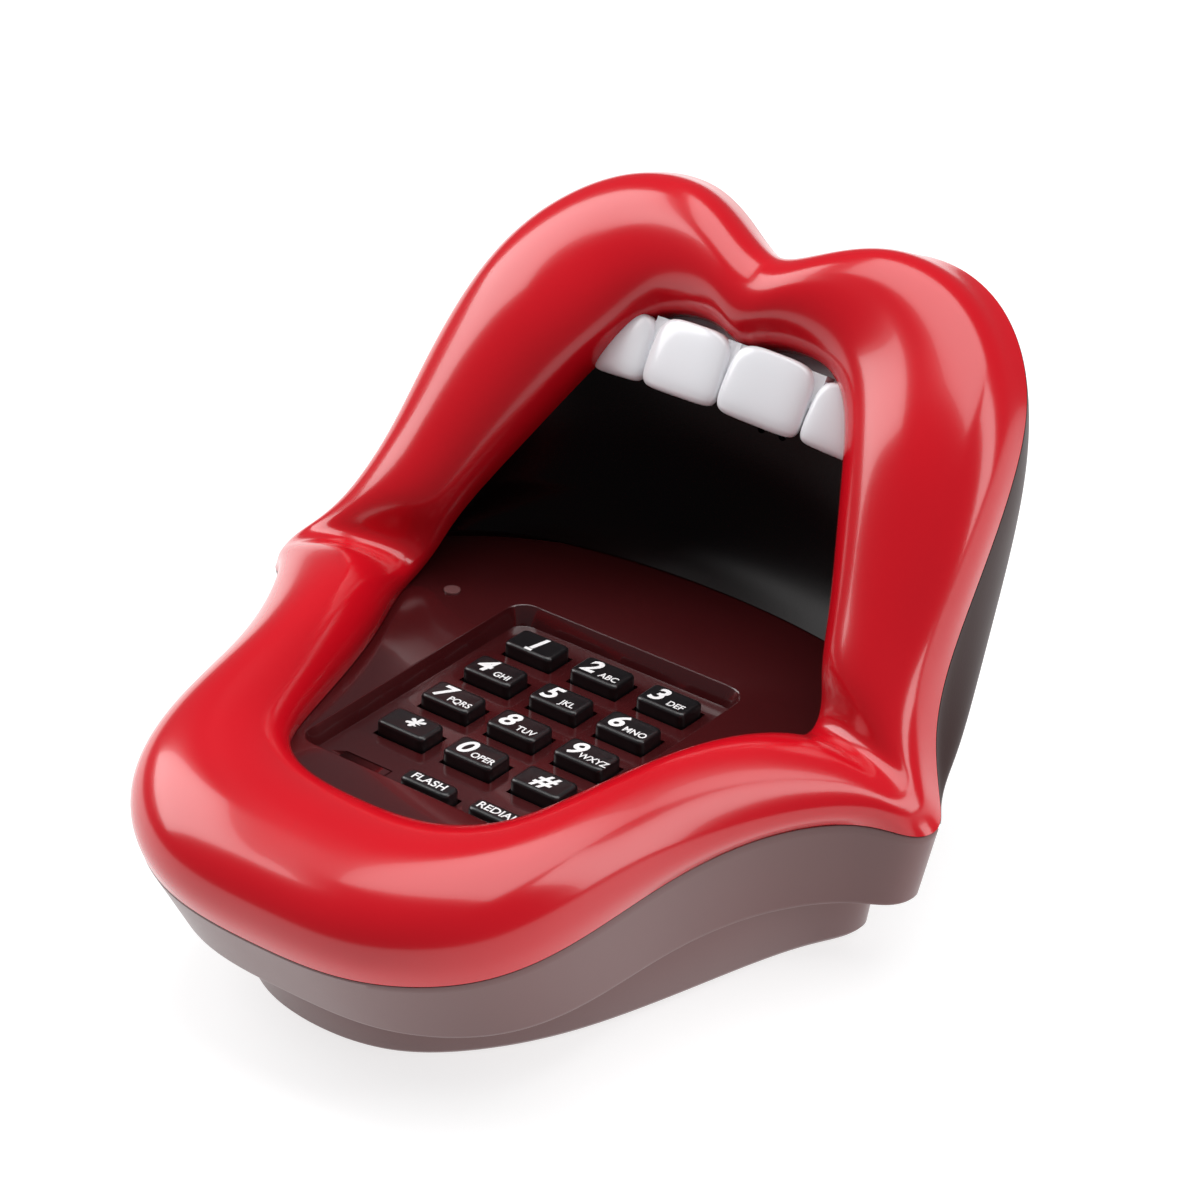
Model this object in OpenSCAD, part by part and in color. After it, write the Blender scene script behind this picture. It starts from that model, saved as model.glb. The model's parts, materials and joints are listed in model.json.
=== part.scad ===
// Novelty telephone in the shape of a wide open mouth.
// X points to the right, Y to the back and Z up. Inside in_place(), Y is measured from the middle dial key;
// Z is always measured from the table. "Seam" is the edge where the red lips meet the casing. "Lean" is the
// angle between the table and the plane in which a stretch of lip lies: 0 for the lower lip.

/* [Mouth] */
// Distance from the mouth's middle plane to a mouth corner
corner_x = 95; // [92:1:97]
// Distance from the middle dial key back to the mouth corners
corner_y = 13.1; // [12:0.1:14]
// Height of the mouth corners over the table
corner_z = 38.6; // [38.2:0.1:39]
// Lean of the upper lip
upper_lean = 45; // [43:1:47]
// Wall thickness of the lips and casings
wall = 2.4; // [2:0.1:2.8]

/* [Keypad] */
// Place of the middle dial key behind the middle of the phone
key_y = 2.72; // [2:0.01:3]
// Distance between two columns of keys
key_pitch_x = 19; // [18.5:0.25:19.5]
// Distance between two rows of keys
key_pitch_y = 15.5; // [15:0.25:15.75]
// Width of every key
key_w = 13.4; // [13:0.1:14]
// Depth of a dial key, front to back
key_d = 8.4; // [8:0.1:9]
// Depth of a function key, front to back
function_key_d = 5; // [5:0.1:5.5]
// Distance from the last row of dial keys to the row of function keys
function_row_gap = 16.7; // [16:0.1:17]
// Angle by which the keypad rises to the front
keypad_tilt = 3.9; // [3.5:0.1:4.2]
// How far a key can be pressed
key_travel = 1.8; // [1.5:0.1:1.8]

/* [Teeth] */
// Width of a middle tooth
middle_tooth_w = 22.4; // [21:0.1:22.5]
// Width of an outer tooth
outer_tooth_w = 17; // [15:0.5:17]
// Height of a tooth
tooth_h = 17.5; // [16:0.5:18]

/* [Casing] */
// Height of the step between the casing and its foot
step_z = 18; // [17:0.5:19]
// Thickness of the rubber feet
pad_t = 1.2; // [1:0.1:1.5]
// Radius of the hook plunger
plunger_r = 4; // [3.5:0.1:4]
// How far a slide switch can be moved
switch_travel = 4; // [3:0.5:4]

/* [Hidden] */
$fn = 48;

RED = [0.80, 0.07, 0.11];
BROWN = [0.34, 0.22, 0.22];
DARK_BROWN = [0.20, 0.11, 0.11];
MAROON = [0.25, 0.08, 0.09];
GLOSS_BLACK = [0.06, 0.04, 0.04];
KEY_BLACK = [0.10, 0.10, 0.11];
TOOTH_WHITE = [0.95, 0.95, 0.97];
LENS_RED = [0.85, 0.20, 0.15];
RUBBER_GREY = [0.45, 0.45, 0.47];
BOARD_GREEN = [0.12, 0.35, 0.20];
METAL = [0.72, 0.73, 0.75];
BRASS = [0.80, 0.62, 0.30];

seam_gap = 0.4;
lip_steps = 84;
section_steps = 12;
hollow_steps = 6;

// Control rows of the right half of the lips, from the front middle to the upper middle. Each row is
// [lean, seam x, seam run, seam height, inner x, inner run, inner height, crest height, overhang].
// A run is measured from the line through the mouth corners, along the lean; a height is square to it.
LIP_ROWS = [
    [0, 0, -120, -2, 0, -84, 10, 19.5, 3],
    [0, 27, -120, -1, 19, -83, 10, 20, 3],
    [0, 50, -105, 0, 32, -73, 9.2, 21, 2],
    [0, 58, -82, 2, 37, -57, 8.2, 22, 2],
    [0, 60, -55, 3, 42, -39, 7, 22, 4],
    [0, 67, -30, 4, 48, -21, 5.8, 21, 6],
    [0, 81, -12, 4, 55, -6, 4.9, 17, 4],
    [8, 92, -8, 2, 57.5, 2, 4.3, 13, -2],
    [22, corner_x, 0, 0, 57.5, 9, 3, 12, -3],
    [34, 90, 6, -2, 56.5, 15, 1.5, 13, -1],
    [upper_lean, 82, 18, -2, 54.5, 22, 0.5, 14, -1],
    [upper_lean, 78, 35, -2, 51, 34, 0, 14, 0],
    [upper_lean, 77, 55, -1, 44, 52, 0, 16, 1],
    [upper_lean, 75, 80, 0, 38, 68, 0, 18, 0],
    [upper_lean, 69, 101, 0, 32, 80, 0, 16, -2],
    [upper_lean, 51, 119, 0, 24, 88, 0, 15, -3],
    [upper_lean, 27, 122, 0, 12, 89, 0, 16, -2],
    [upper_lean, 10, 111, 0, 5, 87, 0, 16, 0],
    [upper_lean, 0, 106, 0, 0, 85, 0, 15, 0]
];
last_row = len(LIP_ROWS) - 1;
corner_row = 8.1;

// Outline of the foot's underside, right half, from front to back
FOOT_ROWS = [
    [0, -89], [19, -86], [34, -73], [46, -56], [55, -34], [62, -14], [69, 3], [77, 13],
    [72, 21], [46, 30], [20, 34], [0, 35]
];

key_top_z = 42;
tray_h = -3.5;
tray_t = 2.2;
plate_h = 1.5;
plate_t = 2.2;
tray_x = 33;
tray_back = 27;
tray_front = -54;
function key_place(column, row) = [column * key_pitch_x, row * key_pitch_y];
function_row_y = -2 * key_pitch_y - function_row_gap;
key_play = 0.4;
flange = 1;
flange_h = tray_h - tray_t - 0.3;
flange_t = 1.2;
mat_top = flange_h - flange_t - key_travel - 0.2;
mat_t = 1;
dome_h = 1.4;
keypad_board_top = mat_top - dome_h - mat_t - 0.1;
board_t = 1.6;
keypad_screw_places = [[30.5, -36], [30.5, 15]];

main_board_z = 21;
base_screw_places = [[41, -48], [46, 6]];
board_post_places = [[28, -50], [28, 10]];
screw_seat_z = 14;
base_boss_top = 24;
shell_floor = pad_t + wall;
back_screw_places = [[69, 48, 27], [53, 100, 20]];
boss_r = 3.6;
pilot_r = 1.3;
plunger_y = -36;
plunger_tip = 0.2;
jack_size = [13, 15, 10.4];
jack_place = [26, 58.5, 31.4];
ringer_switch_place = [-16, 65.4, 31.5];
tone_switch_place = [-40, 57.5, 31.5];
receiver_place = [0, 86.8, 78];
receiver_tilt = -8;
mic_place = [0, -91.5, 21];
ringer_place = [0, 18];

function cubic(t) = [
    pow(1 - t, 3), 3 * pow(t, 3) - 6 * t * t + 4, -3 * pow(t, 3) + 3 * t * t + 3 * t + 1, pow(t, 3)
] / 6;

// Value at u of a closed cubic B-spline over the rows c
function round_spline(c, u) =
    let (n = len(c), i = floor(u), w = cubic(u - i))
    w[0] * c[(i + 2 * n - 1) % n] + w[1] * c[(i + 2 * n) % n]
    + w[2] * c[(i + 2 * n + 1) % n] + w[3] * c[(i + 2 * n + 2) % n];

// Value at f, from 0 to 1, of a cubic B-spline that starts and ends at its outer rows
function open_spline(c, f) =
    let (
        last = len(c) - 1,
        e = concat([2 * c[0] - c[1]], c, [2 * c[last] - c[last - 1]]),
        u = min(f * last, last - 0.0001),
        i = floor(u),
        w = cubic(u - i)
    )
    w[0] * e[i] + w[1] * e[i + 1] + w[2] * e[i + 2] + w[3] * e[i + 3];

function mix(a, b, f) = a + (b - a) * f;
function flip(p) = [-p[0], p[1]];
function both_halves(rows) = concat(rows, [for (i = [len(rows) - 2:-1:1]) flip(rows[i])]);

// Point of the lips' space: x, run along the lean and height square to it
function lean_point(lean, x, run, height) = [
    x,
    corner_y + run * cos(lean) - height * sin(lean),
    corner_z + run * sin(lean) + height * cos(lean)
];

function flip_lip(r) = [r[0], -r[1], r[2], r[3], -r[4], r[5], r[6], r[7], r[8]];
LIP_LOOP = concat(LIP_ROWS, [for (i = [last_row - 1:-1:1]) flip_lip(LIP_ROWS[i])]);

// Row of the lips at u, with its walls moved inwards by t
function lip_row(u, t) =
    let (
        r = round_spline(LIP_LOOP, u),
        w = norm([r[1] - r[4], r[2] - r[5]]),
        dx = (r[1] - r[4]) / w,
        ds = (r[2] - r[5]) / w
    )
    [r[0], r[1] - dx * t, r[2] - ds * t, r[3], r[4] + dx * t, r[5] + ds * t, r[6], r[7] - t, r[8]];

// Control points of one cross-section of the lips, from the seam over the crest to the inner edge
function section_rows(r, w) = [
    [w, r[3]],
    [w + r[8], mix(r[3], r[7], 0.33)],
    [w * 0.92 + r[8] * 0.6, r[7] * 0.8 + r[3] * 0.1],
    [w * 0.55, r[7] * 1.1],
    [w * 0.14, r[7] * 0.96],
    [-1.5, mix(r[6], r[7], 0.45)],
    [0, r[6]]
];
function lip_section(r, steps) =
    let (w = norm([r[1] - r[4], r[2] - r[5]]), dx = (r[1] - r[4]) / w, ds = (r[2] - r[5]) / w)
    [for (k = [0:steps])
        let (p = open_spline(section_rows(r, w), k / steps))
        lean_point(r[0], r[4] + dx * p[0], r[5] + ds * p[0], p[1])];

// Point of the seam at u, moved inwards by t and away from the lips by the seam's gap
function seam_point(u, t) = let (r = lip_row(u, t)) lean_point(r[0], r[1], r[2], r[3] - seam_gap);

// Solid made of closed rings of points, each joined to the next and the last to the first
module closed_loft(rings) {
    n = len(rings);
    m = len(rings[0]);
    points = [for (ring = rings) each ring];
    faces = [
        for (i = [0:n - 1]) for (j = [0:m - 1])
        let (
            a = i * m + j, b = i * m + (j + 1) % m,
            c = ((i + 1) % n) * m + (j + 1) % m, d = ((i + 1) % n) * m + j
        )
        each [[a, b, c], [a, c, d]]
    ];
    polyhedron(points = points, faces = faces, convexity = 10);
}

// Solid made of rings of points that run counter-clockwise seen from above, stacked upwards
module capped_loft(rings) {
    n = len(rings);
    m = len(rings[0]);
    points = [for (ring = rings) each ring];
    walls = [
        for (i = [0:n - 2]) for (j = [0:m - 1])
        let (a = i * m + j, b = i * m + (j + 1) % m, c = (i + 1) * m + (j + 1) % m, d = (i + 1) * m + j)
        each [[a, c, b], [a, d, c]]
    ];
    first_cap = [[for (j = [0:m - 1]) j]];
    last_cap = [[for (j = [m - 1:-1:0]) (n - 1) * m + j]];
    polyhedron(points = points, faces = concat(walls, first_cap, last_cap), convexity = 10);
}

// Solid between two sheets of points with the same rows and columns. Rows run upwards and columns from
// the right round the back to the left.
module sheet(outer, inner) {
    n = len(outer);
    m = 2 * len(outer[0]);
    half = m / 2;
    points = [for (i = [0:n - 1]) each concat(outer[i], [for (j = [half - 1:-1:0]) inner[i][j]])];
    walls = [
        for (i = [0:n - 2]) for (j = [0:m - 1])
        let (a = i * m + j, b = i * m + (j + 1) % m, c = (i + 1) * m + (j + 1) % m, d = (i + 1) * m + j)
        each [[a, c, b], [a, d, c]]
    ];
    first_edge = [
        for (j = [0:half - 2])
        each [[j, j + 1, m - 1 - j], [j + 1, m - 2 - j, m - 1 - j]]
    ];
    base = (n - 1) * m;
    last_edge = [
        for (j = [0:half - 2])
        each [[base + j + 1, base + j, base + m - 1 - j], [base + m - 2 - j, base + j + 1, base + m - 1 - j]]
    ];
    polyhedron(points = points, faces = concat(walls, first_edge, last_edge), convexity = 10);
}

module in_place() {
    translate([0, key_y, 0]) children();
}

module both_sides(place) {
    for (side = [-1, 1]) translate([side * place[0], place[1], 0]) children();
}

// Children drawn in the keypad's own plane: X right, Y back, Z up out of the key tops
module on_keypad() {
    translate([0, 0, key_top_z]) rotate([-keypad_tilt, 0, 0]) children();
}

// Children drawn in the upper lip's plane: X right, Y along the lean, Z towards the lips' crest
module on_upper_lip(x, run, height) {
    translate(lean_point(upper_lean, x, run, height)) rotate([upper_lean, 0, 0]) children();
}

// Slab with rounded corners, standing on the XY plane
module slab(size, r) {
    linear_extrude(height = size[2]) {
        square([size[0] - 2 * r, size[1]], center = true);
        square([size[0], size[1] - 2 * r], center = true);
        for (x = [-1, 1]) for (y = [-1, 1])
            translate([x * (size[0] / 2 - r), y * (size[1] / 2 - r)]) circle(r = r);
    }
}

// Screw with its head on the XY plane, pointing up
module screw(head_r, shank_r, length) {
    difference() {
        union() {
            cylinder(r = shank_r, h = length);
            translate([0, 0, -1.8]) cylinder(r = head_r, h = 1.8);
        }
        for (a = [0, 90]) rotate([0, 0, a]) translate([-head_r * 0.6, -0.35, -2]) cube([head_r * 1.2, 0.7, 1.1]);
    }
}

// ---------------------------------------------------------------- lips and teeth

module lip_core(grow) {
    closed_loft([for (i = [0:lip_steps - 1])
        lip_section(lip_row(i * len(LIP_LOOP) / lip_steps, -grow), section_steps)]);
}

function lip_ring_section(u) = concat(
    lip_section(lip_row(u, 0), section_steps),
    let (inside = lip_section(lip_row(u, wall), hollow_steps)) [for (k = [hollow_steps:-1:0]) inside[k]]
);

module lip_ring() {
    front = base_screw_places[0];
    color(RED) difference() {
        union() {
            closed_loft([for (i = [0:lip_steps - 1]) lip_ring_section(i * len(LIP_LOOP) / lip_steps)]);
            intersection() {
                lip_core(0);
                union() {
                    for (place = back_screw_places) for (side = [-1, 1])
                        on_upper_lip(side * place[0], place[1], 0.2) cylinder(r = boss_r, h = 30);
                    both_sides(front) translate([0, 0, corner_z + 4]) cylinder(r = boss_r, h = 30);
                }
            }
            both_sides(front) translate([0, 0, base_boss_top + 0.2])
                cylinder(r = boss_r, h = corner_z + 6 - base_boss_top);
        }
        for (place = back_screw_places) for (side = [-1, 1])
            on_upper_lip(side * place[0], place[1], -1) cylinder(r = pilot_r, h = 10);
        both_sides(front) translate([0, 0, base_boss_top - 1]) cylinder(r = pilot_r, h = 12);
    }
}

// Half width and half depth of a tooth's cross-section at a share of its height
TOOTH_ROWS = [
    [0, 0.72, 0.30], [0.03, 0.88, 0.62], [0.10, 0.96, 0.84], [0.25, 1, 0.98], [0.55, 0.98, 1],
    [0.85, 0.94, 0.96], [1, 0.88, 0.85]
];
tooth_t = 6;
tooth_points = 24;
function squircle(a, e) = let (c = cos(a), s = sin(a))
    [sign(c) * pow(abs(c), 2 / e), sign(s) * pow(abs(s), 2 / e)];

// Tooth with its biting edge at the bottom, standing on the middle of the XY plane
module tooth(w, h) {
    capped_loft([for (row = TOOTH_ROWS) [for (i = [0:tooth_points - 1])
        let (p = squircle((i + 0.5) * 360 / tooth_points, 3))
        [p[0] * row[1] * w / 2, p[1] * row[2] * tooth_t / 2, row[0] * h]]]);
}

// Each row: middle of the tooth across, its run and height in the upper lip's plane, its turn, width and length
function tooth_rows() = [
    [11, 68.5, 4.2, 5.5, middle_tooth_w, tooth_h],
    [30.2, 68.8, 1, 14, outer_tooth_w, tooth_h - 1.5]
];
tooth_tilt = 11;

module upper_teeth() {
    color(TOOTH_WHITE) difference() {
        union() {
            for (t = tooth_rows()) for (side = [-1, 1])
                on_upper_lip(side * t[0], t[1], t[2]) rotate([0, side * t[3], 0]) rotate([tooth_tilt - 90, 0, 0]) {
                    tooth(t[4] - 0.3, t[5]);
                    translate([-t[4] / 2 - 1.5, 0, t[5] - 8]) cube([t[4] + 3, 5, 7]);
                }
            on_upper_lip(0, 87, -2) cube([56, 14, 3.2], center = true);
            on_upper_lip(0, 82.5, 1.6) cube([36, 5, 6], center = true);
        }
        lip_core(0.3);
    }
}

// ---------------------------------------------------------------- casings

front_steps = 40;
rear_steps = 22;
rear_from = 0.035;
rear_half_w = 84;
rear_depth = 63;
tip_reach = 3;

// Point of the casing's back at the height of the mouth corners; side is 0 on the right and 1 on the left
function rear_point(side, t) =
    let (c = cos(180 * side), s = sin(180 * side))
    [(rear_half_w - t) * c + tip_reach * pow(c, 3), corner_y + (rear_depth - t) * s];

// Outline of the bottom shell's rim, from the left corner round the front to the right one and back
function rim_outline(t) = concat(
    [for (i = [0:front_steps])
        seam_point(mix(-corner_row, corner_row, i / front_steps) + len(LIP_LOOP), t)],
    [for (i = [1:rear_steps])
        let (p = rear_point(mix(rear_from, 1 - rear_from, (i - 0.5) / rear_steps), t))
        [p[0], p[1], corner_z - seam_gap]]
);

step_scale_x = 0.95;
step_scale_y = 0.92;
rear_step_y = 44;
// The same outline at level f, from the rim at 0 down to the step at 1
function casing_ring(f, t) =
    let (top = rim_outline(t), curl = pow(f, 3))
    [for (i = [0:len(top) - 1])
        let (
            p = top[i],
            x = p[0] * mix(1, i > front_steps ? 0.93 : step_scale_x, f),
            front = corner_y + (p[1] - corner_y) * mix(1, step_scale_y, f),
            back = mix(p[1], corner_y + (rear_step_y - corner_y) * (p[1] - corner_y) / rear_depth, curl)
        )
        [x, i > front_steps ? back : front, mix(p[2], step_z + t, f)]];

FOOT_LOOP = both_halves(FOOT_ROWS);
foot_corner = 7.2;
foot_y = -15;
// Outline of the foot, with as many points as the casing's and starting at the same corner
function foot_ring(grow, z, t) =
    [for (i = [0:front_steps + rear_steps])
        let (
            n = len(FOOT_LOOP),
            u = i <= front_steps
                ? mix(-foot_corner, foot_corner, i / front_steps)
                : mix(foot_corner, n - foot_corner, (i - front_steps) / (rear_steps + 1)),
            p = round_spline(FOOT_LOOP, u + n) - [0, foot_y],
            shrink = grow - t / norm(p)
        )
        [p[0] * shrink, foot_y + p[1] * shrink, z]];

// Wall of the bottom shell: up the outside to the rim and back down the inside
module shell_skin() {
    capped_loft([
        foot_ring(0.98, pad_t, 0),
        foot_ring(1, pad_t + 1.5, 0),
        foot_ring(1.03, step_z, 0),
        casing_ring(1, 0),
        casing_ring(0.93, 0),
        casing_ring(0.8, 0),
        casing_ring(0.6, 0),
        casing_ring(0.35, 0),
        casing_ring(0, 0),
        casing_ring(0, wall),
        casing_ring(0.35, wall),
        casing_ring(0.6, wall),
        casing_ring(0.8, wall),
        casing_ring(0.97, wall),
        foot_ring(1.03, step_z - 1, wall + 0.4),
        foot_ring(1, shell_floor, wall)
    ]);
}

module bottom_shell() {
    color(BROWN) difference() {
        union() {
            shell_skin();
            for (place = base_screw_places) both_sides(place)
                translate([0, 0, shell_floor - 1]) cylinder(r = 4.4, h = base_boss_top - shell_floor + 1);
            for (place = board_post_places) both_sides(place)
                translate([0, 0, shell_floor - 1]) cylinder(r = 3.2, h = main_board_z - shell_floor + 1);
        }
        for (place = base_screw_places) both_sides(place) {
            translate([0, 0, -1]) cylinder(r = 3.4, h = screw_seat_z + 1);
            cylinder(r = 1.8, h = base_boss_top + 1);
        }
        for (place = board_post_places) both_sides(place)
            translate([0, 0, main_board_z - 9]) cylinder(r = pilot_r, h = 10);
        translate([0, plunger_y, -1]) cylinder(r = plunger_r + 0.3, h = 10);
        translate([mic_place[0], mic_place[1], step_z - 5]) cylinder(r = 1, h = 10);
        for (a = [0:60:300]) translate([ringer_place[0], ringer_place[1], -1])
            rotate([0, 0, a]) translate([6, 0, 0]) cylinder(r = 1.2, h = 10);
        translate([jack_place[0], jack_place[1] + jack_size[1], jack_place[2]])
            cube(jack_size + [0.6, 15, 0.6], center = true);
        for (place = [ringer_switch_place, tone_switch_place])
            translate(place + [0, 6, 0]) cube([switch_travel + 5, 20, 3.4], center = true);
    }
}

back_rows = 20;
back_columns = 40;
// How far the back shell swells from its lower edge and from the seam: sideways, back and up
swell_low = [22, 40, 28];
swell_top = [0, 8, -24];
swell_fall = 1.3;
// Point of the back shell: f runs from its lower edge to the seam, side from the right to the left
function back_point(f, side, t) =
    let (
        u = mix(corner_row + 0.15, 2 * last_row - corner_row - 0.15, side),
        seam = seam_point(u, t),
        low = rear_point(mix(rear_from, 1 - rear_from, side), t),
        c = cos(180 * side),
        bulge = pow(sin(180 * side), swell_fall),
        p0 = [low[0], low[1], corner_z],
        p1 = p0 + bulge * [swell_low[0] * c, swell_low[1] - t * 0.2, swell_low[2]],
        p3 = seam,
        p2 = p3 + bulge * [0, swell_top[1] - t * 1.1, swell_top[2] - t * 1.1],
        g = 1 - f
    )
    p0 * pow(g, 3) + p1 * 3 * g * g * f + p2 * 3 * g * f * f + p3 * pow(f, 3);
function back_sheet(t) =
    [for (i = [0:back_rows]) [for (j = [0:back_columns]) back_point(i / back_rows, j / back_columns, t)]];

module back_shell() {
    color(DARK_BROWN) difference() {
        union() {
            sheet(back_sheet(0), back_sheet(wall));
            difference() {
                for (place = back_screw_places) for (side = [-1, 1])
                    on_upper_lip(side * place[0], place[1], -place[2]) cylinder(r = 4.4, h = place[2] - 0.2);
                sheet(back_sheet(-8), back_sheet(0.2));
            }
        }
        for (place = back_screw_places) for (side = [-1, 1]) {
            on_upper_lip(side * place[0], place[1], -60) cylinder(r = 3.2, h = 56);
            on_upper_lip(side * place[0], place[1], -60) cylinder(r = 1.8, h = 62);
        }
    }
}

// ---------------------------------------------------------------- keypad

plate_steps = 60;
plate_rear_w = 76;
plate_rear_y = 16;
plate_rear_depth = 48;
tuck = 2.2;

// Outline of the keypad plate, under the inner edge of the lips and round the floor of the throat
module plate_outline() {
    polygon([for (i = [0:plate_steps])
        let (r = lip_row(mix(-8.4, 8.4, i / plate_steps) + len(LIP_LOOP), tuck))
        [r[4], corner_y + r[5]]]);
    intersection() {
        translate([0, plate_rear_y]) scale([plate_rear_w, plate_rear_depth]) circle(r = 1, $fn = 96);
        translate([-100, 26]) square([200, 100]);
    }
    translate([-50, 0]) square([100, 40]);
}

module tray_block(grow, top, bottom) {
    middle = (tray_back + tray_front) / 2;
    depth = tray_back - tray_front;
    hull() {
        translate([0, middle, bottom]) slab([2 * tray_x - 3 + 2 * grow, depth - 3 + 2 * grow, 0.01], 4);
        translate([0, middle, top]) slab([2 * tray_x + 2 * grow, depth + 2 * grow, 0.01], 5);
    }
}

module key_holes() {
    for (column = [-1:1]) for (row = [-2:1])
        translate(concat(key_place(column, row), [0]))
            cube([key_w + 2 * key_play, key_d + 2 * key_play, 30], center = true);
    for (column = [0, 1]) translate([column * key_pitch_x, function_row_y, 0])
        cube([key_w + 2 * key_play, function_key_d + 2 * key_play, 30], center = true);
}

led_place = [-48, 20];
led_r = 2;

module keypad_plate() {
    rear = base_screw_places[1];
    color(MAROON) difference() {
        union() {
            on_keypad() translate([0, 0, plate_h - plate_t]) linear_extrude(height = plate_t) plate_outline();
            on_keypad() tray_block(plate_t, plate_h - 0.5, tray_h - tray_t);
            for (place = keypad_screw_places) on_keypad() both_sides(place)
                translate([0, 0, keypad_board_top]) cylinder(r = 3, h = tray_h - 1 - keypad_board_top);
            both_sides(rear) translate([0, 0, base_boss_top + 0.2])
                cylinder(r = boss_r, h = key_top_z - 1 - base_boss_top);
        }
        on_keypad() difference() {
            tray_block(0, plate_h + 0.1, tray_h);
            translate([0, 0, tray_h - 50]) cube([200, 200, 100], center = true);
        }
        on_keypad() key_holes();
        on_keypad() translate([-key_pitch_x, function_row_y, tray_h - 0.4]) difference() {
            translate([0, 0, 1]) cube([key_w, function_key_d, 2], center = true);
            cube([key_w - 1, function_key_d - 1, 6], center = true);
        }
        for (place = keypad_screw_places) on_keypad() both_sides(place)
            translate([0, 0, keypad_board_top - 1]) cylinder(r = pilot_r, h = 6);
        both_sides(rear) translate([0, 0, base_boss_top - 1]) cylinder(r = pilot_r, h = 12);
        on_keypad() translate([led_place[0], led_place[1], -5]) cylinder(r = led_r + 0.1, h = 10);
    }
}

// Key with its top at the height of the key tops; the flange under the plate keeps it from falling out
module key(x, y, d) {
    color(KEY_BLACK) on_keypad() translate([x, y, 0]) {
        translate([0, 0, -0.7]) slab([key_w - 1, d - 1, 0.7], 1);
        translate([0, 0, flange_h - 0.5]) slab([key_w, d, -0.7 - flange_h + 0.5], 1.2);
        translate([0, 0, flange_h - flange_t]) slab([key_w + 2 * flange, d + 2 * flange, flange_t], 1);
    }
}
module dial_key(column, row) {
    key(column * key_pitch_x, row * key_pitch_y, key_d);
}

module led_lens() {
    color(LENS_RED) on_keypad() translate([led_place[0], led_place[1], 0]) {
        translate([0, 0, -4]) cylinder(r = led_r, h = plate_h + 4.4);
        translate([0, 0, -4]) cylinder(r = led_r + 0.8, h = 1.5);
    }
}

module dome_mat() {
    sheet_h = mat_top - dome_h - mat_t;
    color(RUBBER_GREY) difference() {
        on_keypad() {
            translate([0, (tray_back + tray_front) / 2 - 1, sheet_h]) slab([64, 78, mat_t], 3);
            for (column = [-1:1]) for (row = [-2:1])
                translate(concat(key_place(column, row), [sheet_h])) cylinder(r = 3.6, h = dome_h + mat_t);
            for (column = [0, 1])
                translate([column * key_pitch_x, function_row_y, sheet_h]) cylinder(r = 2.4, h = dome_h + mat_t);
        }
        for (place = keypad_screw_places) on_keypad() both_sides(place)
            translate([0, 0, sheet_h - 1]) cylinder(r = 3.4, h = 4);
    }
}

module keypad_board() {
    color(BOARD_GREEN) difference() {
        on_keypad() translate([0, (tray_back + tray_front) / 2 - 1, keypad_board_top - board_t])
            slab([66, 79, board_t], 3);
        for (place = keypad_screw_places) on_keypad() both_sides(place)
            translate([0, 0, keypad_board_top - 5]) cylinder(r = 1.6, h = 10);
    }
}

// ---------------------------------------------------------------- throat

// Half width, back and height of the throat's arcs, from the keypad plate upwards
THROAT_ROWS = [
    [72, 63, 43.9], [71, 69, 47], [68, 75, 53], [64, 80, 62], [60, 84, 74], [58, 86.5, 86],
    [54, 86, 96], [44, 85, 103], [30, 84, 108]
];
throat_front = 24;
throat_rows = 18;
throat_columns = 26;
function throat_point(f, side, t) =
    let (
        r = open_spline(THROAT_ROWS, f),
        c = cos(180 * side),
        s = pow(sin(180 * side), 0.8),
        front = max(30, r[2] - throat_front) - t * 0.3,
        y = mix(front, r[1] - t, s)
    )
    [(r[0] - t) * c, y, r[2] - tan(keypad_tilt) * y * pow(1 - f, 2)];
function throat_sheet(t) =
    [for (i = [0:throat_rows]) [for (j = [0:throat_columns])
        throat_point(i / throat_rows, j / throat_columns, t)]];

module on_receiver() {
    translate(receiver_place) rotate([receiver_tilt - 90, 0, 0]) children();
}

module throat_liner() {
    color(GLOSS_BLACK) difference() {
        sheet(throat_sheet(0), throat_sheet(2));
        on_receiver() {
            for (a = [0:60:300]) rotate([0, 0, a]) translate([6, 0, -12]) cylinder(r = 1.1, h = 20);
            translate([0, 0, -12]) cylinder(r = 1.1, h = 20);
        }
    }
}

module receiver_capsule() {
    color(METAL) on_receiver() difference() {
        union() {
            cylinder(r = 13, h = 5);
            translate([0, 0, 4]) cylinder(r = 9, h = 4);
        }
        for (a = [0:60:300]) rotate([0, 0, a]) translate([6, 0, -1]) cylinder(r = 1, h = 2);
    }
}

CABLE = [[14, 8, 24.5], [14, 50, 29], [9, 69, 34.5], [8, 76.5, 50], [5, 89.2, 60], [4, 95.7, 71]];
cable_steps = 24;
cable_r = 0.9;
// Ring of points square to the cable at f
function cable_ring(f) =
    let (
        d = open_spline(CABLE, min(f + 0.01, 1)) - open_spline(CABLE, max(f - 0.01, 0)),
        across = cross(d, [1, 0, 0]) / norm(cross(d, [1, 0, 0])),
        other = cross(d, across) / norm(cross(d, across))
    )
    [for (i = [0:7]) open_spline(CABLE, f) + cable_r * (cos(i * 45) * across + sin(i * 45) * other)];
module receiver_cable() {
    color(KEY_BLACK) capped_loft([for (i = [0:cable_steps]) cable_ring(i / cable_steps)]);
}

// ---------------------------------------------------------------- inside the casing

module main_board() {
    color(BOARD_GREEN) difference() {
        translate([0, -20, main_board_z]) slab([66, 70, board_t], 3);
        for (place = board_post_places) both_sides(place)
            translate([0, 0, main_board_z - 1]) cylinder(r = 1.6, h = 5);
    }
}

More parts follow.
